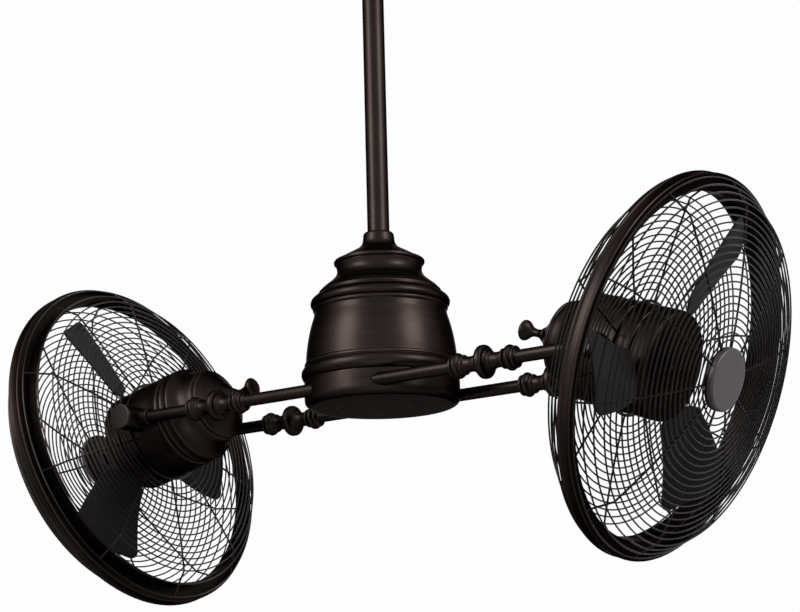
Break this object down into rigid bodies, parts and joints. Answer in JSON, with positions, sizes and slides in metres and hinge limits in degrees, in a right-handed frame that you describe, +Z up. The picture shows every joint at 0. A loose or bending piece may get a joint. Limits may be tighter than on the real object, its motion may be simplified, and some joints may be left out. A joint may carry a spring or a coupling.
{
  "type": "twin head ceiling fan",
  "caption": "Downrod ceiling fan whose turning hub carries caged fan heads on turned arms; each head tilts on its pivots and spins paddle blades",
  "frame": {"origin": "centre of the ceiling plate's slot pattern, on the rod's axis in the ceiling plane", "axes": "+Z up, +X along the arms to the right head, -Y toward the picture's front side"},
  "size_m": [0.9621, 0.4286, 0.8497],
  "materials": {
    "bronze": "satin oil-rubbed bronze",
    "cage_wire": "satin dark bronze wire",
    "blade": "matte dark paddle",
    "steel": "bright zinc",
    "copper": "winding copper",
    "ball_plastic": "moulded black",
    "cable": "jacketed cable"
  },
  "bodies": {
    "ceiling_mount": {"hanger_bracket": "steel", "canopy": "bronze", "canopy_screws": "bronze", "hanger_ball": "ball_plastic", "rod_pins": "steel", "downrod": "bronze", "supply_cable": "cable", "coupling": "steel", "coupling_cover": "bronze", "upper_dome": "bronze", "bell_housing": "bronze", "mounting_plate": "steel", "spindle": "steel", "brush_block": "ball_plastic", "spindle_nut": "steel"},
    "hub": {"spindle_bearings": "steel", "slip_ring": "copper", "arm_hub": "bronze", "hub_cap": "bronze", "arm_front_left": "bronze", "arm_front_right": "bronze", "arm_rear_left": "bronze", "arm_rear_right": "bronze", "socket_front_left": "bronze", "socket_front_right": "bronze", "socket_rear_left": "bronze", "socket_rear_right": "bronze", "pivot_caps": "bronze"},
    "left_head": {"left_rear_shell": "bronze", "left_handle_knob": "bronze", "left_motor_can": "bronze", "left_stator": "copper", "left_motor_bearings": "steel", "left_rear_guard": "cage_wire", "left_guard_band": "bronze", "left_front_guard": "cage_wire", "left_badge": "bronze", "left_pivot_studs": "steel"},
    "left_blades": {"left_rotor": "steel", "left_blade_hub": "blade", "left_blade_1": "blade", "left_blade_2": "blade", "left_blade_3": "blade", "left_blade_screws": "steel"},
    "right_head": {"right_rear_shell": "bronze", "right_handle_knob": "bronze", "right_motor_can": "bronze", "right_stator": "copper", "right_motor_bearings": "steel", "right_rear_guard": "cage_wire", "right_guard_band": "bronze", "right_front_guard": "cage_wire", "right_badge": "bronze", "right_pivot_studs": "steel"},
    "right_blades": {"right_rotor": "steel", "right_blade_hub": "blade", "right_blade_1": "blade", "right_blade_2": "blade", "right_blade_3": "blade", "right_blade_screws": "steel"}
  },
  "joints": [
    {"name": "hub_turn", "type": "hinge", "parent": "ceiling_mount", "child": "hub", "pos_m": [0, 0, -0.6233], "axis": [0, 0, 1], "continuous": true},
    {"name": "left_tilt", "type": "hinge", "parent": "hub", "child": "left_head", "pos_m": [-0.329, 0, -0.6233], "axis": [0, 1, 0], "range_deg": [-75.6, 104.4]},
    {"name": "right_tilt", "type": "hinge", "parent": "hub", "child": "right_head", "pos_m": [0.329, 0, -0.6233], "axis": [0, -1, 0], "range_deg": [-69.8, 110.2]},
    {"name": "left_spin", "type": "hinge", "parent": "left_head", "child": "left_blades", "pos_m": [-0.329, 0, -0.6233], "axis": [-0.9686, 0, -0.2487], "continuous": true},
    {"name": "right_spin", "type": "hinge", "parent": "right_head", "child": "right_blades", "pos_m": [0.329, 0, -0.6233], "axis": [0.9385, 0, -0.3453], "continuous": true}
  ]
}
